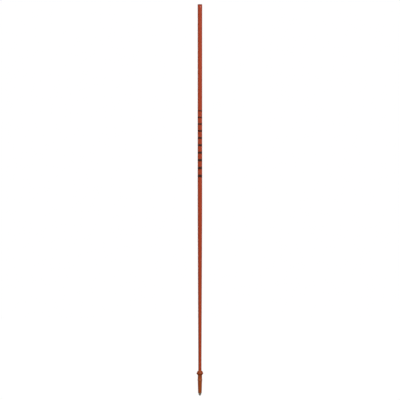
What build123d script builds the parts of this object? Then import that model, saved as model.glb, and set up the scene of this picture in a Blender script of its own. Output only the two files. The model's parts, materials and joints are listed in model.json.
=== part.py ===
from build123d import *

import os

# Cross-country ski pole shaft with a roller-ski ferrule, as sold without its grip and strap.
# Millimetres, +Z up. The pole stands on its tip: the origin is on the shaft's axis, in the plane
# where the carbide pin meets the ground. The printed marks face -Y.

# Shaft: a rolled carbon tube, parallel at the grip end, then tapered, then parallel again.
pole_length = 1400.0
grip_radius = 8.25  # outside radius of the parallel stretch that the grip slides over
grip_wall = 1.1
ferrule_end_radius = 5.8  # outside radius of the parallel stretch that the ferrule slides over
ferrule_end_wall = 1.5
taper_top = 654.0
taper_bottom = 146.0
saw_chamfer = 0.3  # both edges of the sawn grip end are broken by this much

# Ferrule: a moulded sleeve with a domed collar, a snap ring and a tapered body.
ferrule_top = 88.5
ferrule_bottom = 9.5
socket_floor = 35.0
lip_radius = 8.3
lip_round = 1.5
collar_radius = 12.4
collar_height = 79.2  # where the collar is widest
collar_round = 1.2
dome_rise = 0.15  # how much wider the collar's top is, halfway up, than a straight cone
neck_radius = 7.5
neck_top = 73.0
neck_round = 3.0
ring_top = 60.2
ring_bottom = 52.7
ring_radius = 8.25
ring_slope = 0.9  # height of the ring's sloped edges
ring_round = 0.8
shoulder_radius = 7.85  # of the neck, where it meets the ring
body_radius = 7.65  # just under the snap ring
foot_radius = 6.45  # where the body turns in to the end face
foot_round = 1.2

# Hot-melt adhesive between shaft and ferrule.
glue_gap = 0.15
glue_pad = 0.5  # thickness under the shaft's cut end
glue_plug = 5.0  # how far it is pushed up inside the tube
glue_bead = 0.7  # what is squeezed out at the ferrule's mouth

# Steel holder moulded into the ferrule, with the carbide pin brazed into it.
holder_bottom = 2.3
holder_foot_radius = 4.3
holder_foot_chamfer = 0.9
holder_seat_radius = 5.6
shank_radius = 3.5
shank_top = 29.0
barb_depth = 0.6
barb_pitch = 5.0
barb_count = 3
pin_radius = 2.2
pin_top = 11.5
pin_chamfer = 0.3
cup_radius = 1.6  # hollow end of the pin, which bites the road with its rim
cup_depth = 0.9
braze_gap = 0.08
braze_fillet = 0.4

# Printed film on the grip end: a row of plain bars that shorten towards the grip.
film = 0.1
marks_bottom = 781.0
marks_top = 1021.0
bar_count = 10
longest_bar = 10.1
shortest_bar = 4.3
bar_width = 15.2  # across, seen from the front
bar_corner = 1.5

slight = 0.001  # how near a corner has to lie to count as the one that is looked for

shaft_bottom = socket_floor + glue_pad
socket_radius = ferrule_end_radius + glue_gap
grip_bore = grip_radius - grip_wall
ferrule_end_bore = ferrule_end_radius - ferrule_end_wall
pocket_radius = pin_radius + braze_gap
pocket_top = pin_top + braze_gap
bead_radius = ferrule_end_radius + glue_bead
plug_top = shaft_bottom + glue_plug


def bars():
    """Middle height and length of each printed bar, from the lowest up, with equal gaps."""
    step = (longest_bar - shortest_bar) / (bar_count - 1)
    lengths = [longest_bar - step * i for i in range(bar_count)]
    gap = (marks_top - marks_bottom - sum(lengths)) / (bar_count - 1)
    placed = []
    base = marks_bottom
    for length in lengths:
        placed.append((base + length / 2, length))
        base += length + gap
    return placed


def holder_outline():
    """The steel holder's half section without the pin's pocket: exposed cone, seat and barbed shank."""
    with BuildLine() as outline:
        points = [
            (0, holder_bottom),
            (holder_foot_radius - holder_foot_chamfer, holder_bottom),
            (holder_foot_radius, holder_bottom + holder_foot_chamfer),
            (holder_seat_radius, ferrule_bottom),
            (shank_radius, ferrule_bottom),
        ]
        first_barb = shank_top - barb_count * barb_pitch
        for i in range(barb_count):
            base = first_barb + i * barb_pitch
            points.append((shank_radius, base))
            points.append((shank_radius + barb_depth, base))
        points.append((shank_radius, shank_top))
        points.append((0, shank_top))
        Polyline(*points, close=True)
    return outline


# Shaft
with BuildPart() as shaft:
    with BuildSketch(Plane.XZ):
        with BuildLine():
            Polyline(
                (ferrule_end_bore, shaft_bottom),
                (ferrule_end_radius, shaft_bottom),
                (ferrule_end_radius, taper_bottom),
                (grip_radius, taper_top),
                (grip_radius, pole_length),
                (grip_bore, pole_length),
                (grip_bore, taper_top),
                (ferrule_end_bore, taper_bottom),
                close=True,
            )
        make_face()
    revolve(axis=Axis.Z)
    chamfer(shaft.faces().sort_by(Axis.Z)[-1].edges(), length=saw_chamfer)
shaft.part.label = "shaft"

# Printed marks: a thin sleeve, kept only where the bars are, on the front half
with BuildPart() as shaft_markings:
    with BuildSketch(Plane.XY.offset(marks_bottom)):
        Circle(grip_radius + film)
        Circle(grip_radius, mode=Mode.SUBTRACT)
    extrude(amount=marks_top - marks_bottom)
    with BuildSketch(Plane.XZ):
        for middle, length in bars():
            with Locations((0, middle)):
                RectangleRounded(bar_width, length, bar_corner)
    extrude(amount=grip_radius + film, mode=Mode.INTERSECT)
shaft_markings.part.label = "shaft_markings"

# Ferrule
dome_middle = ((lip_radius + collar_radius) / 2 + dome_rise, (ferrule_top + collar_height) / 2)
with BuildPart() as ferrule:
    with BuildSketch(Plane.XZ) as half_section:
        with BuildLine():
            sleeve = Polyline(
                (0, ferrule_top),
                (0, ferrule_bottom),
                (foot_radius, ferrule_bottom),
                (body_radius, ring_bottom),
                (ring_radius, ring_bottom + ring_slope),
                (ring_radius, ring_top - ring_slope),
                (shoulder_radius, ring_top),
                (neck_radius, neck_top),
                (collar_radius, collar_height),
            )
            dome = ThreePointArc(sleeve @ 1, dome_middle, (lip_radius, ferrule_top))
            Line(dome @ 1, sleeve @ 0)
        make_face()
        foot = half_section.vertices().group_by(Axis.Y)[0].sort_by(Axis.X)[-1]
        fillet(foot, radius=foot_round)
        ring_edges = half_section.vertices().filter_by(lambda v: abs(v.X - ring_radius) < slight)
        fillet(ring_edges, radius=ring_round)
        neck_corner = half_section.vertices().filter_by(lambda v: abs(v.Y - neck_top) < slight)
        fillet(neck_corner, radius=neck_round)
        collar_edge = half_section.vertices().sort_by(Axis.X)[-1]
        fillet(collar_edge, radius=collar_round)
        lip = half_section.vertices().group_by(Axis.Y)[-1].sort_by(Axis.X)[-1]
        fillet(lip, radius=lip_round)
    revolve(axis=Axis.Z)
    with BuildSketch(Plane.XY.offset(ferrule_top)):
        Circle(socket_radius)
    extrude(amount=socket_floor - ferrule_top, mode=Mode.SUBTRACT)
    with BuildSketch(Plane.XZ):
        add(holder_outline())
        make_face()
    revolve(axis=Axis.Z, mode=Mode.SUBTRACT)
ferrule.part.label = "ferrule"

# Hot-melt adhesive
with BuildPart() as hot_melt_bond:
    with BuildSketch(Plane.XZ):
        with BuildLine():
            outside = Polyline(
                (0, socket_floor),
                (socket_radius, socket_floor),
                (socket_radius, ferrule_top),
                (bead_radius, ferrule_top),
            )
            bead = RadiusArc(outside @ 1, (ferrule_end_radius, ferrule_top + glue_bead), glue_bead)
            Polyline(
                bead @ 1,
                (ferrule_end_radius, shaft_bottom),
                (ferrule_end_bore, shaft_bottom),
                (ferrule_end_bore, plug_top),
                (0, plug_top),
                (0, socket_floor),
            )
        make_face()
    revolve(axis=Axis.Z)
hot_melt_bond.part.label = "hot_melt_bond"

# Steel holder
with BuildPart() as tip_holder:
    with BuildSketch(Plane.XZ):
        add(holder_outline())
        make_face()
    revolve(axis=Axis.Z)
    with BuildSketch(Plane.XY.offset(holder_bottom)):
        Circle(pocket_radius)
    extrude(amount=pocket_top - holder_bottom, mode=Mode.SUBTRACT)
tip_holder.part.label = "tip_holder"

# Carbide pin, with a hollow road end
with BuildPart() as carbide_pin:
    with BuildSketch(Plane.XZ):
        with BuildLine():
            Polyline(
                (0, cup_depth),
                (cup_radius, 0),
                (pin_radius - pin_chamfer, 0),
                (pin_radius, pin_chamfer),
                (pin_radius, pin_top - pin_chamfer),
                (pin_radius - pin_chamfer, pin_top),
                (0, pin_top),
                close=True,
            )
        make_face()
    revolve(axis=Axis.Z)
carbide_pin.part.label = "carbide_pin"

# Braze between pin and holder
with BuildPart() as braze_joint:
    with BuildSketch(Plane.XZ):
        with BuildLine():
            Polyline(
                (pin_radius, holder_bottom - braze_fillet),
                (pin_radius + braze_fillet, holder_bottom),
                (pocket_radius, holder_bottom),
                (pocket_radius, pocket_top),
                (0, pocket_top),
                (0, pin_top),
                (pin_radius - pin_chamfer, pin_top),
                (pin_radius, pin_top - pin_chamfer),
                close=True,
            )
        make_face()
    revolve(axis=Axis.Z)
braze_joint.part.label = "braze_joint"

os.makedirs("parts", exist_ok=True)
for piece in (shaft, shaft_markings, ferrule, hot_melt_bond, tip_holder, carbide_pin, braze_joint):
    export_step(piece.part, f"parts/{piece.part.label}.step")
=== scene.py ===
import json
import math

import bmesh
import bpy
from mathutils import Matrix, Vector, noise


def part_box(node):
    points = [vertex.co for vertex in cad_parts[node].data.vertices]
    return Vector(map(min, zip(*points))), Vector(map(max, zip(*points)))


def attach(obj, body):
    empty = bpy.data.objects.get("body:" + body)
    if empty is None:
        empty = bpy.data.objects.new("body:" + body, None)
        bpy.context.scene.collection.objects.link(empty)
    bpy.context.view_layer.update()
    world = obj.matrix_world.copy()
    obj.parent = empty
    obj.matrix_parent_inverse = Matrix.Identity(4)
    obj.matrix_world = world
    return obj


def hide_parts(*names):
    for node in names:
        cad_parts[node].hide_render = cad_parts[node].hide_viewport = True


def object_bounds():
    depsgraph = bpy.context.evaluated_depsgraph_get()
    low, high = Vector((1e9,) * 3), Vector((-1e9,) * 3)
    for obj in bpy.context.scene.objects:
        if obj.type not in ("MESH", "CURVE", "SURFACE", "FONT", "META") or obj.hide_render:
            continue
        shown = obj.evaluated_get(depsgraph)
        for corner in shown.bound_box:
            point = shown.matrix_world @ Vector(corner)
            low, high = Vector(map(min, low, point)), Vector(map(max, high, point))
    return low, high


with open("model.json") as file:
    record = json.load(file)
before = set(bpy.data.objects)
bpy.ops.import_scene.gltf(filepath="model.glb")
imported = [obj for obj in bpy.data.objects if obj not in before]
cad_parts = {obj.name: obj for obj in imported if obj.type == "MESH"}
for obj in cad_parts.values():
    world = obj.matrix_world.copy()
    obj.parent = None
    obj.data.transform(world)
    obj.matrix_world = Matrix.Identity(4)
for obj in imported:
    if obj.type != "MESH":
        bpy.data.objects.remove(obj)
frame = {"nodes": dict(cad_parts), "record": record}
cadLow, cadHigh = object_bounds()
mounts = {mount["name"]: mount for mount in frame["record"]["mounts"]}
mm = 0.001  # the pieces and finishes below are given in millimetres, the camera and studio in metres
tiny = 0.001  # millimetres, how near two heights or radii count as the same
print("frame loaded:", ", ".join(sorted(frame["nodes"])))


# heights, in millimetres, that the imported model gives
def lowOf(node):
    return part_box(node)[0][2] / mm


def highOf(node):
    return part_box(node)[1][2] / mm


# the colours are written as they look on a screen, and the shaders want them linear
def linearColour(hexColour):
    channels = []
    for start in (1, 3, 5):
        value = int(hexColour[start:start + 2], 16) / 255
        channels.append(value / 12.92 if value <= 0.04045 else ((value + 0.055) / 1.055) ** 2.4)
    return (*channels, 1.0)


# adds one node; a setting is a socket's value if the node has such a socket, and otherwise a property
def addNode(tree, kind, settings=None, links=None):
    node = tree.nodes.new(kind)
    for name, value in (settings or {}).items():
        if isinstance(name, int) or name in node.inputs:
            node.inputs[name].default_value = value
        else:
            setattr(node, name, value)
    for name, source in (links or {}).items():
        tree.links.new(source, node.inputs[name])
    return node


# an empty finish, with its shader's fixed values, and the place on the object in millimetres
def startFinish(name, surface):
    finish = bpy.data.materials.new(name)
    finish.use_nodes = True
    tree = finish.node_tree
    tree.nodes.clear()
    where = addNode(tree, "ShaderNodeTexCoord")
    inMm = addNode(tree, "ShaderNodeVectorMath", {"operation": "SCALE", "Scale": 1 / mm},
                   {0: where.outputs["Object"]})
    shader = addNode(tree, "ShaderNodeBsdfPrincipled", surface)
    addNode(tree, "ShaderNodeOutputMaterial", {}, {"Surface": shader.outputs["BSDF"]})
    return finish, tree, shader, inMm.outputs["Vector"]


# a noise whose grains are drawn out, or pressed flat, along the pole
def drawnNoise(tree, place, width, length, settings):
    drawn = addNode(tree, "ShaderNodeVectorMath",
                    {"operation": "MULTIPLY", 1: (1 / width, 1 / width, 1 / length)}, {0: place})
    grains = addNode(tree, "ShaderNodeTexNoise", {"Scale": 1.0, **settings}, {"Vector": drawn.outputs[0]})
    return grains.outputs["Fac"]


# a layer of relief in millimetres: a pattern from 0 to 1 times its depth, on top of what is there
def addRelief(tree, pattern, depth, below=None):
    layer = addNode(tree, "ShaderNodeMath", {"operation": "MULTIPLY_ADD", 1: depth, 2: 0.0}, {0: pattern})
    if below:
        tree.links.new(below, layer.inputs[2])
    return layer.outputs[0]


# ends a finish's relief in the shader's normal
def useRelief(tree, shader, height):
    bump = addNode(tree, "ShaderNodeBump", {"Strength": 1.0, "Distance": mm}, {"Height": height})
    tree.links.new(bump.outputs["Normal"], shader.inputs["Normal"])


lacquerShow = {
    "colour": "#c74f2a",
    "deepColour": "#b8421f",
    "cloudWidth": 9,
    "cloudLength": 90,  # the spray passes leave faint longer and shorter clouds
    "endColour": "#6e2c1a",  # darker towards the saw cut
    "endLength": 6.5,
    "endShow": 1.4,
    "peelWidth": 1.8,  # orange peel of a sprayed coat
    "peelDepth": 0.004,
    "wrapPitch": 3.2,  # the shrink tape's spiral, ground away but for a trace
    "wrapDepth": 0.002,
    "hairWidth": 0.35,  # hairlines from the basket and from wiping, drawn about five times as wide
    "hairLength": 45,
    "hairFrom": 0.5,  # the noise's height where a hairline starts, and where it is deepest
    "hairTo": 0.75,
    "roughness": (0.34, 0.54),  # between the hairlines, and in them
    "ior": 1.5,
    "specular": 0.2,  # the pigment lies under the clear coat, so it has less shine of its own
    "coat": 0.2,
    "coatRoughness": 0.12,
}


# Polyurethane lacquer, sprayed orange-red under a clear coat on a ground carbon tube. The eye gets an
# even, saturated colour, a gloss that runs down the tube as a line, and in that line the faint orange
# peel, a few lengthwise hairlines and the trace of the spiral tape that pressed the laminate.
def glossLacquer(show, sawnAt):
    finish, tree, shader, place = startFinish("orangeGlossLacquer", {
        "IOR": show["ior"],
        "Specular IOR Level": show["specular"],
        "Coat Weight": show["coat"],
        "Coat Roughness": show["coatRoughness"],
    })
    split = addNode(tree, "ShaderNodeSeparateXYZ", {}, {0: place})
    clouds = drawnNoise(tree, place, show["cloudWidth"], show["cloudLength"], {"Detail": 3.0})
    colour = addNode(tree, "ShaderNodeMix",
                     {"data_type": "RGBA", 6: linearColour(show["colour"]),
                      7: linearColour(show["deepColour"])}, {0: clouds})
    # the lacquer's colour turns darker over the last endLength below the saw cut, patchy by the clouds
    nearEnd = addNode(tree, "ShaderNodeMapRange",
                      {"interpolation_type": "SMOOTHSTEP", "From Min": sawnAt - show["endLength"],
                       "From Max": sawnAt, "To Max": show["endShow"]}, {"Value": split.outputs["Z"]})
    endDarkening = addNode(tree, "ShaderNodeMath", {"operation": "MULTIPLY", "use_clamp": True},
                    {0: nearEnd.outputs["Result"], 1: clouds})
    ended = addNode(tree, "ShaderNodeMix", {"data_type": "RGBA", 7: linearColour(show["endColour"])},
                    {0: endDarkening.outputs[0], 6: colour.outputs[2]})
    tree.links.new(ended.outputs[2], shader.inputs["Base Color"])

    peel = addNode(tree, "ShaderNodeTexNoise", {"Scale": 1 / show["peelWidth"], "Detail": 1.5},
                   {"Vector": place})
    angle = addNode(tree, "ShaderNodeMath", {"operation": "ARCTAN2"},
                    {0: split.outputs["Y"], 1: split.outputs["X"]})
    spiral = addNode(tree, "ShaderNodeMath",
                     {"operation": "MULTIPLY_ADD", 1: 2 * math.pi / show["wrapPitch"]},
                     {0: split.outputs["Z"], 2: angle.outputs[0]})
    ridge = addNode(tree, "ShaderNodeMath", {"operation": "SINE"}, {0: spiral.outputs[0]})
    relief = addRelief(tree, peel.outputs["Fac"], show["peelDepth"])
    useRelief(tree, shader, addRelief(tree, ridge.outputs[0], show["wrapDepth"] / 2, relief))

    hairs = drawnNoise(tree, place, show["hairWidth"], show["hairLength"], {"Detail": 2.0})
    handled = addNode(tree, "ShaderNodeMapRange",
                      {"From Min": show["hairFrom"], "From Max": show["hairTo"],
                       "To Min": show["roughness"][0], "To Max": show["roughness"][1]}, {"Value": hairs})
    tree.links.new(handled.outputs["Result"], shader.inputs["Roughness"])
    return finish


laminateShow = {
    "fibreColour": "#4b4846",
    "resinColour": "#0f0e0e",
    "ply": 0.14,  # thickness of one layer of prepreg
    "sawPitch": 0.22,  # tooth marks across the cut
    "sawDepth": 0.012,
    "sawWander": 1.5,
    "fibreWidth": 0.05,  # real fibres are 0.007 mm, drawn in bundles that show
    "roughness": 0.58,
}


# Carbon and epoxy laminate, sawn square and lightly sanded. The eye gets a dry near-black rim with
# thin rings where one layer ends and the next begins, and straight tooth marks across it.
def sawnCarbon(show):
    finish, tree, shader, place = startFinish("sawnCarbonLaminate", {"Roughness": show["roughness"]})
    flat = addNode(tree, "ShaderNodeVectorMath", {"operation": "MULTIPLY", 1: (1, 1, 0)}, {0: place})
    radius = addNode(tree, "ShaderNodeVectorMath", {"operation": "LENGTH"}, {0: flat.outputs[0]})
    layers = addNode(tree, "ShaderNodeMath", {"operation": "DIVIDE", 1: show["ply"]},
                     {0: radius.outputs["Value"]})
    inLayer = addNode(tree, "ShaderNodeMath", {"operation": "PINGPONG", 1: 1.0}, {0: layers.outputs[0]})
    bundles = addNode(tree, "ShaderNodeTexNoise", {"Scale": 1 / show["fibreWidth"], "Detail": 2.0},
                      {"Vector": place})
    mixed = addNode(tree, "ShaderNodeMath", {"operation": "MULTIPLY"},
                    {0: inLayer.outputs[0], 1: bundles.outputs["Fac"]})
    colour = addNode(tree, "ShaderNodeMix",
                     {"data_type": "RGBA", 6: linearColour(show["resinColour"]),
                      7: linearColour(show["fibreColour"])}, {0: mixed.outputs[0]})
    tree.links.new(colour.outputs[2], shader.inputs["Base Color"])
    # at scale 1 the bands of this texture lie pi / 10 apart
    strokes = addNode(tree, "ShaderNodeTexWave",
                      {"wave_type": "BANDS", "bands_direction": "Y", "Scale": math.pi / 10 / show["sawPitch"],
                       "Distortion": show["sawWander"], "Detail": 2.0}, {"Vector": place})
    relief = addRelief(tree, strokes.outputs["Fac"], show["sawDepth"])
    useRelief(tree, shader, addRelief(tree, inLayer.outputs[0], show["sawDepth"], relief))
    return finish


boreShow = {
    "colour": "#1d1b1a",
    "creaseWidth": 1.2,
    "creaseLength": 14,
    "creaseDepth": 0.02,
    "roughness": (0.28, 0.5),
}


# Epoxy against a steel mandrel, left as it came off. The eye gets a dark, half-gloss wall with long
# shallow creases down it.
def mandrelResin(show):
    finish, tree, shader, place = startFinish("mandrelSideResin", {
        "Base Color": linearColour(show["colour"]),
    })
    creases = drawnNoise(tree, place, show["creaseWidth"], show["creaseLength"], {"Detail": 3.0})
    dusty = addNode(tree, "ShaderNodeMapRange",
                    {"To Min": show["roughness"][0], "To Max": show["roughness"][1]}, {"Value": creases})
    tree.links.new(dusty.outputs["Result"], shader.inputs["Roughness"])
    useRelief(tree, shader, addRelief(tree, creases, show["creaseDepth"]))
    return finish


inkShow = {
    "colour": "#3a170b",
    "thinColour": "#5c2511",  # the lacquer shows through where the screen left less
    "grain": 0.35,
    "grainDepth": 0.0012,
    "roughness": 0.42,
    "specular": 0.25,
}


# Screen ink on a clear carrier film. The eye gets a flat, warm near-black with less shine than the
# lacquer round it, and a trace of the screen's grain.
def screenInk(show):
    finish, tree, shader, place = startFinish("blackScreenInk", {
        "Roughness": show["roughness"],
        "Specular IOR Level": show["specular"],
    })
    grain = addNode(tree, "ShaderNodeTexNoise", {"Scale": 1 / show["grain"], "Detail": 2.0},
                    {"Vector": place})
    colour = addNode(tree, "ShaderNodeMix",
                     {"data_type": "RGBA", 6: linearColour(show["colour"]),
                      7: linearColour(show["thinColour"])}, {0: grain.outputs["Fac"]})
    tree.links.new(colour.outputs[2], shader.inputs["Base Color"])
    useRelief(tree, shader, addRelief(tree, grain.outputs["Fac"], show["grainDepth"]))
    return finish


nylonShow = {
    "colour": "#ba5720",
    "flowColour": "#a74b16",
    "flowWidth": 5,
    "flowLength": 30,  # the melt runs from the gate towards both ends
    "flowCurl": 1.2,
    "fibreColour": "#c87c50",
    "fibreShow": 0.2,
    "fibreFrom": 0.55,  # the noise's height where a streak starts, and where it is palest
    "fibreTo": 0.75,
    "fibreWidth": 0.13,  # glass fibres are a tenth as wide, and these stand for bundles of them
    "fibreLength": 0.6,
    "domeShadeColour": "#963415",
    "domeShadeStrength": 0.55,  # painted shade on the dome, which faces up
    "domeFrom": -0.6,  # measured from the collar's widest height
    "domeTo": 1.6,
    "ringHighlightColour": "#cb8260",
    "ringHighlight": 0.34,  # painted highlight: how far the snap ring is made paler
    "ringHighlightSpread": 0.25,  # share of the ring's height, each side of its middle, that takes the painted highlight fully
    "sparkGrain": 0.35,  # texture of the spark-eroded mould, drawn about twice as coarse as it is
    "sparkDepth": 0.015,
    "roughness": (0.35, 0.48),
    "ior": 1.53,
    "specular": 0.22,
}


# Glass-filled nylon, injection moulded in a spark-eroded tool. The eye gets a dense rust orange with a
# satin skin, faint flow marks and paler fibre streaks along the body, a fine even grain that softens
# every highlight, a dome darkened a little by painted shade and a snap ring made paler
# by a painted highlight.
def mouldedNylon(show, ringBottom, ringTop, domeBottom):
    finish, tree, shader, place = startFinish("rustMouldedNylon", {
        "IOR": show["ior"],
        "Specular IOR Level": show["specular"],
    })
    split = addNode(tree, "ShaderNodeSeparateXYZ", {}, {0: place})
    flow = drawnNoise(tree, place, show["flowWidth"], show["flowLength"],
                      {"Detail": 4.0, "Distortion": show["flowCurl"]})
    colour = addNode(tree, "ShaderNodeMix",
                     {"data_type": "RGBA", 6: linearColour(show["colour"]),
                      7: linearColour(show["flowColour"])}, {0: flow})
    fibres = drawnNoise(tree, place, show["fibreWidth"], show["fibreLength"], {"Detail": 1.0})
    streaks = addNode(tree, "ShaderNodeMapRange",
                      {"From Min": show["fibreFrom"], "From Max": show["fibreTo"],
                       "To Max": show["fibreShow"]}, {"Value": fibres})
    streaked = addNode(tree, "ShaderNodeMix", {"data_type": "RGBA", 7: linearColour(show["fibreColour"])},
                       {0: streaks.outputs["Result"], 6: colour.outputs[2]})

    # the dome's painted shade and the ring's painted highlight are patchy, by the flow's noise; it is 0.5 on
    # average, so their strengths are doubled
    onDome = addNode(tree, "ShaderNodeMapRange",
                     {"interpolation_type": "SMOOTHSTEP", "From Min": domeBottom + show["domeFrom"],
                      "From Max": domeBottom + show["domeTo"], "To Max": 2 * show["domeShadeStrength"]},
                     {"Value": split.outputs["Z"]})
    # painted shade: darkens the dome, which faces up
    domeShading = addNode(tree, "ShaderNodeMath", {"operation": "MULTIPLY"},
                      {0: onDome.outputs["Result"], 1: flow})
    domeShaded = addNode(tree, "ShaderNodeMix", {"data_type": "RGBA", 7: linearColour(show["domeShadeColour"])},
                     {0: domeShading.outputs[0], 6: streaked.outputs[2]})
    fromRing = addNode(tree, "ShaderNodeMath", {"operation": "SUBTRACT", 1: (ringBottom + ringTop) / 2},
                       {0: split.outputs["Z"]})
    offRing = addNode(tree, "ShaderNodeMath", {"operation": "ABSOLUTE"}, {0: fromRing.outputs[0]})
    ringHeight = ringTop - ringBottom
    onRing = addNode(tree, "ShaderNodeMapRange",
                     {"interpolation_type": "SMOOTHSTEP", "From Min": ringHeight * show["ringHighlightSpread"],
                      "From Max": ringHeight / 2, "To Min": 2 * show["ringHighlight"], "To Max": 0.0},
                     {"Value": offRing.outputs[0]})
    # painted highlight: the snap ring made paler, patchy by the flow's noise
    ringLit = addNode(tree, "ShaderNodeMath", {"operation": "MULTIPLY"},
                     {0: onRing.outputs["Result"], 1: flow})
    ringHighlighted = addNode(tree, "ShaderNodeMix", {"data_type": "RGBA", 7: linearColour(show["ringHighlightColour"])},
                      {0: ringLit.outputs[0], 6: domeShaded.outputs[2]})
    tree.links.new(ringHighlighted.outputs[2], shader.inputs["Base Color"])

    spark = addNode(tree, "ShaderNodeTexVoronoi", {"feature": "SMOOTH_F1", "Scale": 1 / show["sparkGrain"]},
                    {"Vector": place})
    relief = addRelief(tree, spark.outputs["Distance"], show["sparkDepth"])
    useRelief(tree, shader, addRelief(tree, flow, show["sparkDepth"], relief))
    satin = addNode(tree, "ShaderNodeMapRange",
                    {"To Min": show["roughness"][0], "To Max": show["roughness"][1]}, {"Value": flow})
    tree.links.new(satin.outputs["Result"], shader.inputs["Roughness"])
    return finish


hotMeltShow = {
    "colour": "#c79a5b",
    "cloudColour": "#b3864a",
    "cloud": 1.1,
    "lumpDepth": 0.03,
    "roughness": 0.34,
    "lightLetIn": 0.25,
    "reach": (1.2, 0.7, 0.3),  # how far red, green and blue light go in
}


# Ethylene copolymer hot melt, squeezed out and left to set. The eye gets a waxy amber ring that lets
# a little light in, with soft lumps.
def hotMelt(show):
    finish, tree, shader, place = startFinish("amberHotMelt", {
        "Roughness": show["roughness"],
        "Subsurface Weight": show["lightLetIn"],
        "Subsurface Radius": [reach * mm for reach in show["reach"]],
        "Subsurface Scale": 1.0,
    })
    lumps = addNode(tree, "ShaderNodeTexNoise", {"Scale": 1 / show["cloud"], "Detail": 2.0},
                    {"Vector": place})
    colour = addNode(tree, "ShaderNodeMix",
                     {"data_type": "RGBA", 6: linearColour(show["colour"]),
                      7: linearColour(show["cloudColour"])}, {0: lumps.outputs["Fac"]})
    tree.links.new(colour.outputs[2], shader.inputs["Base Color"])
    useRelief(tree, shader, addRelief(tree, lumps.outputs["Fac"], show["lumpDepth"]))
    return finish


steelShow = {
    "colour": "#d5ceba",
    "tarnishColour": "#b7ae98",
    "tarnishWidth": 4.0,
    "tarnishHeight": 0.4,  # it lies in bands, along the rings of the tool
    "tarnishFrom": 0.35,  # the noise's height where tarnish starts, and where it is full
    "tarnishTo": 0.7,
    "feed": 0.18,
    "feedDepth": 0.004,
    "acrossRings": 0.85,  # the rings draw a highlight out across them, so along the pole
    "quarterTurn": 0.25,
    "roughness": (0.38, 0.5),
}


# Free-cutting steel, turned and then heated for the braze. The eye gets a grey with a slight olive
# tarnish that lies in thin bands, and fine rings from the tool's feed that spread the highlight.
def turnedSteel(show):
    finish, tree, shader, place = startFinish("turnedHolderSteel", {
        "Metallic": 1.0,
        "Anisotropic": show["acrossRings"],
        "Anisotropic Rotation": show["quarterTurn"],
    })
    bands = drawnNoise(tree, place, show["tarnishWidth"], show["tarnishHeight"], {"Detail": 4.0})
    spread = addNode(tree, "ShaderNodeMapRange",
                     {"From Min": show["tarnishFrom"], "From Max": show["tarnishTo"]}, {"Value": bands})
    colour = addNode(tree, "ShaderNodeMix",
                     {"data_type": "RGBA", 6: linearColour(show["colour"]),
                      7: linearColour(show["tarnishColour"])}, {0: spread.outputs["Result"]})
    tree.links.new(colour.outputs[2], shader.inputs["Base Color"])
    split = addNode(tree, "ShaderNodeSeparateXYZ", {}, {0: place})
    feed = addNode(tree, "ShaderNodeMath", {"operation": "MULTIPLY", 1: 2 * math.pi / show["feed"]},
                   {0: split.outputs["Z"]})
    rings = addNode(tree, "ShaderNodeMath", {"operation": "SINE"}, {0: feed.outputs[0]})
    useRelief(tree, shader, addRelief(tree, rings.outputs[0], show["feedDepth"] / 2))
    dull = addNode(tree, "ShaderNodeMapRange",
                   {"To Min": show["roughness"][0], "To Max": show["roughness"][1]},
                   {"Value": spread.outputs["Result"]})
    tree.links.new(dull.outputs["Result"], shader.inputs["Roughness"])
    roundAxis = addNode(tree, "ShaderNodeTangent", {"direction_type": "RADIAL", "axis": "Z"})
    tree.links.new(roundAxis.outputs[0], shader.inputs["Tangent"])
    return finish


carbideShow = {"colour": "#77777c", "grit": 0.12, "gritDepth": 0.003, "roughness": (0.25, 0.45)}


# Tungsten carbide, sintered and ground. The eye gets a dark cool grey with a close, slightly
# glittering grain.
def groundCarbide(show):
    finish, tree, shader, place = startFinish("groundTungstenCarbide", {
        "Base Color": linearColour(show["colour"]),
        "Metallic": 1.0,
    })
    grit = addNode(tree, "ShaderNodeTexNoise", {"Scale": 1 / show["grit"], "Detail": 3.0}, {"Vector": place})
    useRelief(tree, shader, addRelief(tree, grit.outputs["Fac"], show["gritDepth"]))
    dull = addNode(tree, "ShaderNodeMapRange",
                   {"To Min": show["roughness"][0], "To Max": show["roughness"][1]},
                   {"Value": grit.outputs["Fac"]})
    tree.links.new(dull.outputs["Result"], shader.inputs["Roughness"])
    return finish


brassShow = {"colour": "#b08d57", "fluxColour": "#6b5a3a", "flux": 0.9, "fluxDepth": 0.02, "roughness": 0.42}


# Brass braze, run in by capillary and left as it froze. The eye gets a dull yellow ring with darker
# spots of burnt flux.
def brassBraze(show):
    finish, tree, shader, place = startFinish("dullBrassBraze", {
        "Roughness": show["roughness"],
        "Metallic": 1.0,
    })
    flux = addNode(tree, "ShaderNodeTexNoise", {"Scale": 1 / show["flux"], "Detail": 3.0}, {"Vector": place})
    colour = addNode(tree, "ShaderNodeMix",
                     {"data_type": "RGBA", 6: linearColour(show["colour"]),
                      7: linearColour(show["fluxColour"])}, {0: flux.outputs["Fac"]})
    tree.links.new(colour.outputs[2], shader.inputs["Base Color"])
    useRelief(tree, shader, addRelief(tree, flux.outputs["Fac"], show["fluxDepth"]))
    return finish


# replaces each corner (radius, height, rounding) that has a rounding by an arc
def roundOff(corners, steps=6):
    points = []
    for i, (radius, height, rounding) in enumerate(corners):
        here = Vector((radius, height))
        if not rounding:
            points.append(here)
            continue
        toLast = (Vector(corners[i - 1][:2]) - here).normalized()
        toNext = (Vector(corners[(i + 1) % len(corners)][:2]) - here).normalized()
        half = toLast.angle(toNext) / 2
        centre = here + (toLast + toNext).normalized() * rounding / math.sin(half)
        first = here + toLast * rounding / math.tan(half) - centre
        last = here + toNext * rounding / math.tan(half) - centre
        sweep = first.angle(last)
        for k in range(steps + 1):
            share = k / steps
            spoke = first * math.sin((1 - share) * sweep) + last * math.sin(share * sweep)
            points.append(centre + spoke / math.sin(sweep))
    return points


# adds points along an outline, so that no step between two of them is longer than given
def divide(points, longest):
    divided = [points[0]]
    for start, end in zip(points, points[1:]):
        parts = max(1, math.ceil((end - start).length / longest))
        divided += [start.lerp(end, k / parts) for k in range(1, parts + 1)]
    return divided


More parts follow.
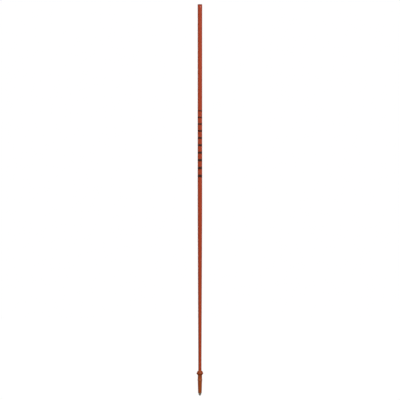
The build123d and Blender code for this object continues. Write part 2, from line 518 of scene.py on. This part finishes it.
# even angles round the axis, with finer ones near the angles where something narrow lies
def anglesRound(count, fineAt=(), fineStep=0.02, fineCount=12):
    turn = 2 * math.pi
    angles = {round(turn * i / count, 5) for i in range(count)}
    reach = fineStep * (fineCount + 0.5)
    for middle in fineAt:
        angles = {a for a in angles if abs((a - middle + math.pi) % turn - math.pi) > reach}
        angles |= {round((middle + fineStep * k) % turn, 5) for k in range(-fineCount, fineCount + 1)}
    return sorted(angles)


# turns an outline of (radius, height) round the pole's axis; shift moves each point by a little
# (outwards, upwards), and finishAt says which of the finishes a face takes
def turnPiece(name, outline, angles, finishes, closed=False, shift=None, finishAt=None):
    build = bmesh.new()
    rings = []
    for radius, height in outline:
        if radius < tiny:
            rings.append([build.verts.new((0, 0, height * mm))])
            continue
        ring = []
        for angle in angles:
            outwards, upwards = shift(radius, height, angle) if shift else (0, 0)
            reach = (radius + outwards) * mm
            ring.append(build.verts.new((reach * math.cos(angle), reach * math.sin(angle),
                                         (height + upwards) * mm)))
        rings.append(ring)
    pairs = list(zip(rings, rings[1:], outline, outline[1:]))
    if closed:
        pairs.append((rings[-1], rings[0], outline[-1], outline[0]))
    for lower, upper, lowPoint, highPoint in pairs:
        middle = (Vector(lowPoint) + Vector(highPoint)) / 2
        for i in range(len(angles)):
            j = (i + 1) % len(angles)
            corners = [lower[i % len(lower)], lower[j % len(lower)],
                       upper[j % len(upper)], upper[i % len(upper)]]
            corners = list(dict.fromkeys(corners))  # on the axis two of them are one point
            if len(corners) > 2:
                face = build.faces.new(corners)
                face.material_index = finishAt(*middle) if finishAt else 0
    return finishPiece(name, build, finishes)


# ends a piece's mesh: faces point out, curved stretches are smooth and real edges stay crisp
def finishPiece(name, build, finishes, crispFrom=38):
    bmesh.ops.recalc_face_normals(build, faces=build.faces)
    openEdges = sum(1 for edge in build.edges if len(edge.link_faces) != 2)
    for face in build.faces:
        face.smooth = True
    mesh = bpy.data.meshes.new(name)
    build.to_mesh(mesh)
    build.free()
    mesh.set_sharp_from_angle(angle=math.radians(crispFrom))
    for finish in finishes:
        mesh.materials.append(finish)
    piece = bpy.data.objects.new(name, mesh)
    bpy.context.collection.objects.link(piece)
    print("made", name, len(mesh.polygons), "faces,", openEdges, "open edges")
    return piece


# hands a piece to the frame: it rides on the pole and stands for its node
def fitPiece(piece, node):
    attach(piece, "root")
    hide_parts(node)


# soft irregularity between -1 and 1 round the axis
def wobble(angle, lumps, seed):
    return noise.noise(Vector((lumps * math.cos(angle), lumps * math.sin(angle), seed)))


# the camera stands level with the pole's middle, far enough off that its sides look parallel
cameraSetup = {
    "distance": 7.0,
    "sideStep": 0.0004,
    "poleShare": 0.978,  # of the picture's height
    "sensor": 36.0,  # millimetres
}
poleHeight = cadHigh[2] - cadLow[2]
cameraData = bpy.data.cameras.new("poleCamera")
cameraData.sensor_width = cameraSetup["sensor"]
cameraData.lens = cameraData.sensor_width * cameraSetup["distance"] * cameraSetup["poleShare"] / poleHeight
camera = bpy.data.objects.new("poleCamera", cameraData)
camera.location = (cameraSetup["sideStep"], -cameraSetup["distance"], cadLow[2] + poleHeight / 2)
camera.rotation_euler = (math.pi / 2, 0, 0)
bpy.context.collection.objects.link(camera)
bpy.context.scene.camera = camera
bpy.context.scene.view_settings.view_transform = "Standard"
print("camera placed")


# Shaft: a tube whose wall, taper and ends follow the real one
shaftShape = {
    "footRadius": 5.8,
    "footWall": 1.5,
    "taperBottom": 146.0,
    "taperBlend": 16000.0,  # the mandrel's taper starts and ends without a line
    "sawBevel": 0.3,
    "bevelMiddle": (0.4, 0.45),  # where the bevel's bend lies, in shares of it, inwards and down
    "plyStep": 0.14,
    "plyFlat": 0.75,  # share of a ply that is flat, before the groove to the next
    "plyFloor": 0.88,  # and where that groove is deepest
    "plyGroove": 0.03,
    "chip": 0.22,  # lacquer lost along the sawn edge
    "chipFine": 0.35,  # how strong its small nicks are beside the large ones
    "segments": 128,
    "rowHeight": 12.0,
}


def makeShaft(shape):
    gripRadius = mounts["grip_seat"]["dims"]["r_mm"]
    gripBore = mounts["tube_bore"]["dims"]["r_mm"]
    bottom, top = lowOf("shaft"), highOf("shaft")
    bevel = shape["sawBevel"]
    taperTop = top - bevel - mounts["grip_seat"]["dims"]["length_mm"]
    footBore = shape["footRadius"] - shape["footWall"]
    outside = roundOff([
        (shape["footRadius"], bottom, 0),
        (shape["footRadius"], shape["taperBottom"], shape["taperBlend"]),
        (gripRadius, taperTop, shape["taperBlend"]),
        (gripRadius, top - bevel, 0),
    ])
    inwards, down = shape["bevelMiddle"]
    end = [Vector((gripRadius - bevel * inwards, top - bevel * down))]
    flatWall = gripRadius - gripBore - 2 * bevel
    plies = round(flatWall / shape["plyStep"])
    for k in range(plies + 1):
        radius = gripRadius - bevel - k * flatWall / plies
        end.append(Vector((radius, top)))
        if k < plies:
            end.append(Vector((radius - shape["plyStep"] * shape["plyFlat"], top)))
            end.append(Vector((radius - shape["plyStep"] * shape["plyFloor"], top - shape["plyGroove"])))
    inside = [
        Vector((gripBore, top - bevel)),
        Vector((gripBore, taperTop)),
        Vector((footBore, shape["taperBottom"])),
        Vector((footBore, bottom)),
    ]
    outline = divide(outside, shape["rowHeight"]) + end + divide(inside, shape["rowHeight"])

    def chipped(radius, height, angle):
        if abs(height - (top - bevel)) < tiny and radius > gripRadius - tiny:
            nicks = wobble(angle, lumps=6.0, seed=3.1)
            nicks += shape["chipFine"] * wobble(angle, lumps=25.0, seed=8.4)
            return 0, -shape["chip"] * max(0.0, nicks)
        return 0, 0

    # lacquer outside, sawn laminate at the end and resin in the bore
    def finishAt(radius, height):
        if height > top - bevel:
            return 1
        along = min(1.0, max(0.0, (height - shape["taperBottom"]) / (taperTop - shape["taperBottom"])))
        outer = shape["footRadius"] + along * (gripRadius - shape["footRadius"])
        bore = footBore + along * (gripBore - footBore)
        return 0 if radius > (outer + bore) / 2 else 2

    return turnPiece("shaftTube", outline, anglesRound(shape["segments"]),
                     [glossLacquer(lacquerShow, top), sawnCarbon(laminateShow), mandrelResin(boreShow)],
                     closed=True, shift=chipped, finishAt=finishAt)


fitPiece(makeShaft(shaftShape), "shaft")


# Printed marks: a row of plain bars with round corners, shorter towards the grip
barShape = {
    "count": 10,
    "longest": 10.1,
    "shortest": 4.3,
    "width": 15.2,
    "corner": 1.5,
    "film": 0.05,  # it stands out from the shaft by this, and reaches as far into it
    "rim": 0.12,  # the film thins out over this much along its edge
    "rimFilm": 0.4,  # to this share of its thickness
    "columns": 40,
}


def addBar(build, shape, gripRadius, middle, length):
    widest = math.asin(shape["width"] / 2 / gripRadius)
    columns = [-math.cos(math.pi * i / shape["columns"]) * widest for i in range(shape["columns"] + 1)]
    rows = [-1, -1 + shape["rim"] / (length / 2), 0, 1 - shape["rim"] / (length / 2), 1]

    def gridPoint(turn, row, lift):
        fromSide = shape["width"] / 2 - abs(gripRadius * math.sin(turn))
        cut = max(0.0, shape["corner"] - fromSide)
        halfLength = length / 2 - shape["corner"] + math.sqrt(max(0.0, shape["corner"] ** 2 - cut ** 2))
        reach = (gripRadius + lift) * mm
        height = (middle + row * halfLength) * mm
        return build.verts.new((reach * math.sin(turn), -reach * math.cos(turn), height))

    def filmAt(i, j):
        onRim = i in (0, len(columns) - 1) or j in (0, len(rows) - 1)
        return shape["film"] * (shape["rimFilm"] if onRim else 1.0)

    outer = [[gridPoint(turn, row, filmAt(i, j)) for j, row in enumerate(rows)]
             for i, turn in enumerate(columns)]
    inner = [[gridPoint(turn, row, -shape["film"]) for row in rows] for turn in columns]
    for i in range(len(columns) - 1):
        for j in range(len(rows) - 1):
            for grid in (outer, inner):
                build.faces.new((grid[i][j], grid[i + 1][j], grid[i + 1][j + 1], grid[i][j + 1]))
    # the edge of both grids, once round, closed by a narrow wall
    around = [(i, 0) for i in range(len(columns))]
    around += [(len(columns) - 1, j) for j in range(1, len(rows))]
    around += [(i, len(rows) - 1) for i in range(len(columns) - 2, -1, -1)]
    around += [(0, j) for j in range(len(rows) - 2, 0, -1)]
    for (i, j), (nextI, nextJ) in zip(around, around[1:] + around[:1]):
        build.faces.new((outer[i][j], outer[nextI][nextJ], inner[nextI][nextJ], inner[i][j]))


def makeBars(shape):
    bottom, top = lowOf("shaft_markings"), highOf("shaft_markings")
    step = (shape["longest"] - shape["shortest"]) / (shape["count"] - 1)
    lengths = [shape["longest"] - step * i for i in range(shape["count"])]
    gap = (top - bottom - sum(lengths)) / (shape["count"] - 1)
    build = bmesh.new()
    base = bottom
    for length in lengths:
        addBar(build, shape, mounts["grip_seat"]["dims"]["r_mm"], base + length / 2, length)
        base += length + gap
    return finishPiece("printedBars", build, [screenInk(inkShow)])


fitPiece(makeBars(barShape), "shaft_markings")


# Steel holder: given before the ferrule, which is moulded round its barbed shank
holderShape = {
    "footRadius": 4.3,
    "footBevel": 0.9,
    "footRound": 0.25,
    "coneRound": 0.3,  # where the foot's bevel meets the cone
    "pocketRound": 0.05,
    "seatRadius": 5.6,
    "shankRadius": 3.5,
    "barbDepth": 0.6,
    "barbPitch": 5.0,
    "barbCount": 3,
    "groovePitch": 0.36,  # the tool's feed, drawn twice as coarse as it is
    "grooveDepth": 0.012,
    "grooveStop": 0.1,  # the grooves stop this far short of the seat
    "segments": 120,
}


def barbedShank(shape):
    seat, top = lowOf("ferrule"), highOf("tip_holder")
    points = [(shape["shankRadius"], seat)]
    for i in range(shape["barbCount"]):
        height = top - (shape["barbCount"] - i) * shape["barbPitch"]
        points += [(shape["shankRadius"], height), (shape["shankRadius"] + shape["barbDepth"], height)]
    return points + [(shape["shankRadius"], top), (0, top)]


# Ferrule: collar, neck, ring and tapered body, with the traces of its mould
ferruleShape = {
    "footRadius": 6.45,
    "footRound": 1.2,
    "bodyRadius": 7.65,
    "ringBottom": 52.7,
    "ringTop": 60.2,
    "ringRadius": 8.25,
    "ringSlope": 0.9,
    "ringRound": 0.8,
    "shoulderRadius": 7.85,
    "neckRadius": 7.5,
    "neckTop": 73.0,
    "neckRound": 3.0,
    "collarRadius": 12.4,
    "collarHeight": 79.2,
    "collarRound": 1.2,
    "domeRise": 0.15,  # how far the dome bulges past a straight cone
    "domeRows": 4,
    "lipRadius": 8.3,
    "lipRound": 1.5,
    "socketRadius": 5.95,
    "socketFloor": 35.0,
    "partingHeight": 0.07,  # flash where the two mould halves met
    "partingWidth": 0.3,
    "partingPatchy": 0.3,  # how much its height comes and goes, and how often along the ferrule
    "partingLumps": 0.8,
    "gateHeight": 40.0,  # where the runner was broken off, at the back
    "gateRadius": 0.9,
    "gateStub": 0.25,
    "gateDish": 1.9,  # radius of the shallow hollow round the stub
    "gateDishDepth": 0.12,
    "gateRow": 0.2,  # rows of the mesh near the gate, and elsewhere
    "rowHeight": 1.2,
    "segments": 120,
}


def makeFerrule(shape):
    bottom, top = lowOf("ferrule"), highOf("ferrule")
    edge = Vector((shape["collarRadius"], shape["collarHeight"]))
    lip = Vector((shape["lipRadius"], top))
    dome = []
    for k in range(1, shape["domeRows"] + 1):
        share = k / (shape["domeRows"] + 1)
        radius, height = edge.lerp(lip, share)
        dome.append((radius + 4 * share * (1 - share) * shape["domeRise"], height, 0))
    corners = [(radius, height, 0) for radius, height in reversed(barbedShank(holderShape))]
    corners += [
        (shape["footRadius"], bottom, shape["footRound"]),
        (shape["bodyRadius"], shape["ringBottom"], 0),
        (shape["ringRadius"], shape["ringBottom"] + shape["ringSlope"], shape["ringRound"]),
        (shape["ringRadius"], shape["ringTop"] - shape["ringSlope"], shape["ringRound"]),
        (shape["shoulderRadius"], shape["ringTop"], 0),
        (shape["neckRadius"], shape["neckTop"], shape["neckRound"]),
        (*edge, shape["collarRound"]),
        *dome,
        (*lip, shape["lipRound"]),
        (shape["socketRadius"], top, 0),
        (shape["socketRadius"], shape["socketFloor"], 0),
        (0, shape["socketFloor"], 0),
    ]
    rough = divide(roundOff(corners), shape["rowHeight"])
    outline = []
    for start, end in zip(rough, rough[1:]):
        fromGate = abs((start[1] + end[1]) / 2 - shape["gateHeight"])
        atGate = fromGate < shape["gateDish"] + shape["rowHeight"] / 2 and start[0] > shape["footRadius"]
        outline += divide([start, end], shape["gateRow"] if atGate else shape["rowHeight"])[:-1]
    outline.append(rough[-1])

    def mouldTraces(radius, height, angle):
        if radius < shape["footRadius"]:
            return 0, 0
        fromParting = radius * abs(math.sin(angle))
        flash = shape["partingHeight"] * max(0.0, 1 - fromParting / shape["partingWidth"])
        patches = noise.noise(Vector((height * shape["partingLumps"], math.cos(angle), 0)))
        flash *= 1 - shape["partingPatchy"] + shape["partingPatchy"] * patches
        fromGate = math.hypot(radius * (angle - math.pi / 2), height - shape["gateHeight"])
        stub = shape["gateStub"] * max(0.0, 1 - (fromGate / shape["gateRadius"]) ** 4)
        dish = -shape["gateDishDepth"] * max(0.0, 1 - (fromGate / shape["gateDish"]) ** 4)
        return flash + stub + dish, 0

    # the parting lines lie at 0 and half a turn, the gate a quarter turn from them
    angles = anglesRound(shape["segments"], (0, math.pi, math.pi / 2))
    nylon = mouldedNylon(nylonShow, shape["ringBottom"], shape["ringTop"], shape["collarHeight"])
    return turnPiece("ferruleMoulding", outline, angles, [nylon], shift=mouldTraces)


fitPiece(makeFerrule(ferruleShape), "ferrule")


# Hot melt: the sleeve between shaft and ferrule, and the bead it leaves at the mouth
meltShape = {
    "pad": 0.5,
    "plug": 5.0,
    "bead": 0.7,
    "beadTuck": 0.3,  # how far down in the mouth it starts to widen
    "beadSink": 0.05,
    "beadShoulder": 0.55,  # height of its widest part, and how round that is, in shares of the bead
    "beadRound": 0.45,
    "overlap": 0.02,  # it wets the shaft by this much
    "ragged": 0.28,
    "raggedFrom": 0.1,  # deeper than this in the mouth, the socket holds it smooth
    "rowHeight": 4.0,
    "segments": 96,
}


def makeMelt(shape):
    bottom, mouth = ferruleShape["socketFloor"], highOf("ferrule")
    inner, outer = shaftShape["footRadius"], ferruleShape["socketRadius"]
    plug = inner - shaftShape["footWall"]
    bead, padTop = shape["bead"], bottom + shape["pad"]
    corners = [
        (0, bottom, 0),
        (outer, bottom, 0),
        (outer, mouth - shape["beadTuck"], 0),
        (inner + bead, mouth - shape["beadSink"], 0),
        (inner + bead, mouth + bead * shape["beadShoulder"], bead * shape["beadRound"]),
        (inner - shape["overlap"], mouth + bead, 0),
        (inner - shape["overlap"], padTop, 0),
        (plug, padTop, 0),
        (plug, padTop + shape["plug"], 0),
        (0, padTop + shape["plug"], 0),
    ]

    def ragged(radius, height, angle):
        if height < mouth - shape["raggedFrom"]:
            return 0, 0
        lump = wobble(angle, lumps=2.6, seed=1.7) + wobble(angle, lumps=7.0, seed=5.2) / 2
        lump *= shape["ragged"]
        free = (radius - inner) / bead
        return lump * max(0.0, free), lump * (height > mouth)

    return turnPiece("meltBead", divide(roundOff(corners), shape["rowHeight"]),
                     anglesRound(shape["segments"]), [hotMelt(hotMeltShow)], shift=ragged)


fitPiece(makeMelt(meltShape), "hot_melt_bond")


# Carbide pin: its hollow end bites the road with the rim
pinShape = {
    "radius": 2.2,
    "bevel": 0.3,
    "cupRadius": 1.6,
    "cupDepth": 0.9,
    "cupFloor": 0.45,  # share of its radius that is flat
    "cupRound": 0.4,
    "rimRound": 0.05,
    "edgeRound": 0.08,
    "wear": 0.03,
    "wornInside": 0.1,  # the wear reaches this far into the cup
    "rowHeight": 0.8,
    "segments": 96,
}


def makePin(shape):
    bottom, top = lowOf("carbide_pin"), highOf("carbide_pin")
    radius, bevel = shape["radius"], shape["bevel"]
    corners = [
        (0, bottom + shape["cupDepth"], 0),
        (shape["cupRadius"] * shape["cupFloor"], bottom + shape["cupDepth"], shape["cupRound"]),
        (shape["cupRadius"], bottom, shape["rimRound"]),
        (radius - bevel, bottom, shape["rimRound"]),
        (radius, bottom + bevel, shape["edgeRound"]),
        (radius, top - bevel, shape["edgeRound"]),
        (radius - bevel, top, shape["edgeRound"]),
        (0, top, 0),
    ]

    def worn(reach, height, angle):
        onRim = height < bottom + bevel and reach > shape["cupRadius"] - shape["wornInside"]
        return 0, shape["wear"] * max(0.0, wobble(angle, lumps=4.0, seed=2.2)) * onRim

    return turnPiece("carbidePin", divide(roundOff(corners), shape["rowHeight"]),
                     anglesRound(shape["segments"]), [groundCarbide(carbideShow)], shift=worn)


fitPiece(makePin(pinShape), "carbide_pin")


# Braze: a thin sleeve round the pin with a small fillet at its mouth
brazeShape = {
    "gap": 0.08,
    "fillet": 0.4,
    "filletCurve": ((0, 1), (0.12, 0.62), (0.38, 0.25), (1, 0)),  # outwards and down, in shares of it
    "filletLift": 0.02,
    "lump": 0.08,
    "segments": 96,
}


def makeBraze(shape):
    mouth = lowOf("tip_holder")
    radius, bevel, pinTop = pinShape["radius"], pinShape["bevel"], highOf("carbide_pin")
    outer, fillet = radius + shape["gap"], shape["fillet"]
    outline = [(radius + fillet * out, mouth - fillet * down) for out, down in shape["filletCurve"]]
    outline += [
        (outer, mouth + shape["filletLift"]),
        (outer, pinTop + shape["gap"]),
        (0, pinTop + shape["gap"]),
        (0, pinTop),
        (radius - bevel, pinTop),
        (radius, pinTop - bevel),
    ]

    def frozen(reach, height, angle):
        lump = shape["lump"] * wobble(angle, lumps=2.2, seed=4.4)
        return (lump, -lump / 2) if height < mouth and reach > radius + tiny else (0, 0)

    return turnPiece("brazeRing", [Vector(point) for point in outline], anglesRound(shape["segments"]),
                     [brassBraze(brassShow)], closed=True, shift=frozen)


fitPiece(makeBraze(brazeShape), "braze_joint")


# Steel holder again: the cone in view, the pocket for pin and braze, and the shank
def makeHolder(shape):
    bottom, seat = lowOf("tip_holder"), lowOf("ferrule")
    pocketRadius = pinShape["radius"] + brazeShape["gap"]
    pocketTop = highOf("braze_joint")
    corners = [
        (0, pocketTop, 0),
        (pocketRadius, pocketTop, 0),
        (pocketRadius, bottom, shape["pocketRound"]),
        (shape["footRadius"] - shape["footBevel"], bottom, shape["footRound"]),
        (shape["footRadius"], bottom + shape["footBevel"], shape["coneRound"]),
        (shape["seatRadius"], seat, 0),
    ]
    corners += [(radius, height, 0) for radius, height in barbedShank(shape)]

    def turned(radius, height, angle):
        onCone = bottom + shape["footBevel"] < height < seat - shape["grooveStop"]
        onCone = onCone and radius > shape["footRadius"]
        groove = math.sin(2 * math.pi * height / shape["groovePitch"])
        return shape["grooveDepth"] * groove * onCone, 0

    return turnPiece("tipHolder", divide(roundOff(corners), shape["groovePitch"] / 4),
                     anglesRound(shape["segments"]), [turnedSteel(steelShow)], shift=turned)


fitPiece(makeHolder(holderShape), "tip_holder")


# Studio: white paper floor and backdrop, a broad soft key beside the camera, and softer ones round it
studioSetup = {
    "paperTone": (0.2, 0.03),  # as the lamps see it, and as the camera does
    "paperGlow": 0.985,  # what makes it white to the camera
    "paperInGloss": 0.06,  # how bright the steel and the carbide see it
    "paperSide": 9.0,
    "surround": 0.09,  # the room's own light on the pole
    "surroundInGloss": 0.1,  # and what its glossy parts mirror on top of that
    "backdrop": 1.003,  # the white that the camera sees
    "softboxes": [  # name, degrees round from the camera's side, rise, distance, width, height, watts
        ("keySoftbox", 14, 23, 6.5, 3.6, 1.6, 178),
        ("topSoftbox", 12, 66, 10.0, 3.6, 3.6, 420),
        ("leftSoftbox", -85, 12, 5.0, 2.4, 3.4, 22),
        ("rightSoftbox", 85, 12, 5.0, 2.4, 3.4, 16),
        ("leftBackSoftbox", -142, 12, 4.2, 1.8, 3.4, 60),
        ("rightBackSoftbox", 142, 12, 4.2, 1.8, 3.4, 18),
        ("backSoftbox", 180, 30, 6.5, 3.6, 2.4, 200),
    ],
}


# White background paper, matt. The eye gets an even white floor, which lights the pole only a little.
def studioPaper(setup):
    paper = bpy.data.materials.new("whiteStudioPaper")
    paper.use_nodes = True
    tree = paper.node_tree
    tree.nodes.clear()
    ray = addNode(tree, "ShaderNodeLightPath")
    tone = addNode(tree, "ShaderNodeMapRange",
                   {"To Min": setup["paperTone"][0], "To Max": setup["paperTone"][1]},
                   {"Value": ray.outputs["Is Camera Ray"]})
    glow = addNode(tree, "ShaderNodeMath", {"operation": "MULTIPLY", 1: setup["paperGlow"]},
                   {0: ray.outputs["Is Camera Ray"]})
    mirrored = addNode(tree, "ShaderNodeMath", {"operation": "MULTIPLY_ADD", 1: setup["paperInGloss"]},
                       {0: ray.outputs["Is Glossy Ray"], 2: glow.outputs[0]})
    matt = addNode(tree, "ShaderNodeBsdfDiffuse", {}, {"Color": tone.outputs["Result"]})
    shine = addNode(tree, "ShaderNodeEmission", {}, {"Strength": mirrored.outputs[0]})
    both = addNode(tree, "ShaderNodeAddShader", {}, {0: matt.outputs[0], 1: shine.outputs[0]})
    addNode(tree, "ShaderNodeOutputMaterial", {}, {"Surface": both.outputs[0]})
    return paper


def layFloor(setup):
    mesh = bpy.data.meshes.new("paperFloor")
    build = bmesh.new()
    bmesh.ops.create_grid(build, x_segments=8, y_segments=8, size=setup["paperSide"] / 2)
    build.to_mesh(mesh)
    build.free()
    mesh.materials.append(studioPaper(setup))
    floor = bpy.data.objects.new("paperFloor", mesh)
    floor.location = (0, 0, cadLow[2])
    bpy.context.collection.objects.link(floor)


# the backdrop is white to look at, and the room that lights the pole is dimmer
def paintSurround(setup):
    world = bpy.data.worlds.new("studioSurround")
    bpy.context.scene.world = world
    world.use_nodes = True
    tree = world.node_tree
    tree.nodes.clear()
    ray = addNode(tree, "ShaderNodeLightPath")
    strength = addNode(tree, "ShaderNodeMapRange",
                       {"To Min": setup["surround"], "To Max": setup["backdrop"]},
                       {"Value": ray.outputs["Is Camera Ray"]})
    mirrored = addNode(tree, "ShaderNodeMath", {"operation": "MULTIPLY_ADD", 1: setup["surroundInGloss"]},
                       {0: ray.outputs["Is Glossy Ray"], 2: strength.outputs["Result"]})
    sky = addNode(tree, "ShaderNodeBackground", {"Color": (1, 1, 1, 1)},
                  {"Strength": mirrored.outputs[0]})
    addNode(tree, "ShaderNodeOutputWorld", {}, {"Surface": sky.outputs[0]})


# each softbox hangs on a sphere round the pole's middle and faces it
def hangSoftboxes(setup):
    middle = Vector((0, 0, cadLow[2] + poleHeight / 2))
    for name, around, rise, distance, width, height, watts in setup["softboxes"]:
        lamp = bpy.data.lights.new(name, "AREA")
        lamp.shape = "RECTANGLE"
        lamp.size = width
        lamp.size_y = height
        lamp.energy = watts
        softbox = bpy.data.objects.new(name, lamp)
        turn, lift = math.radians(around), math.radians(rise)
        away = Vector((math.sin(turn) * math.cos(lift), -math.cos(turn) * math.cos(lift), math.sin(lift)))
        softbox.location = middle + away * distance
        softbox.rotation_euler = (-away).to_track_quat("-Z", "Y").to_euler()
        softbox.visible_camera = False
        bpy.context.collection.objects.link(softbox)


layFloor(studioSetup)
paintSurround(studioSetup)
hangSoftboxes(studioSetup)
print("studio lit")
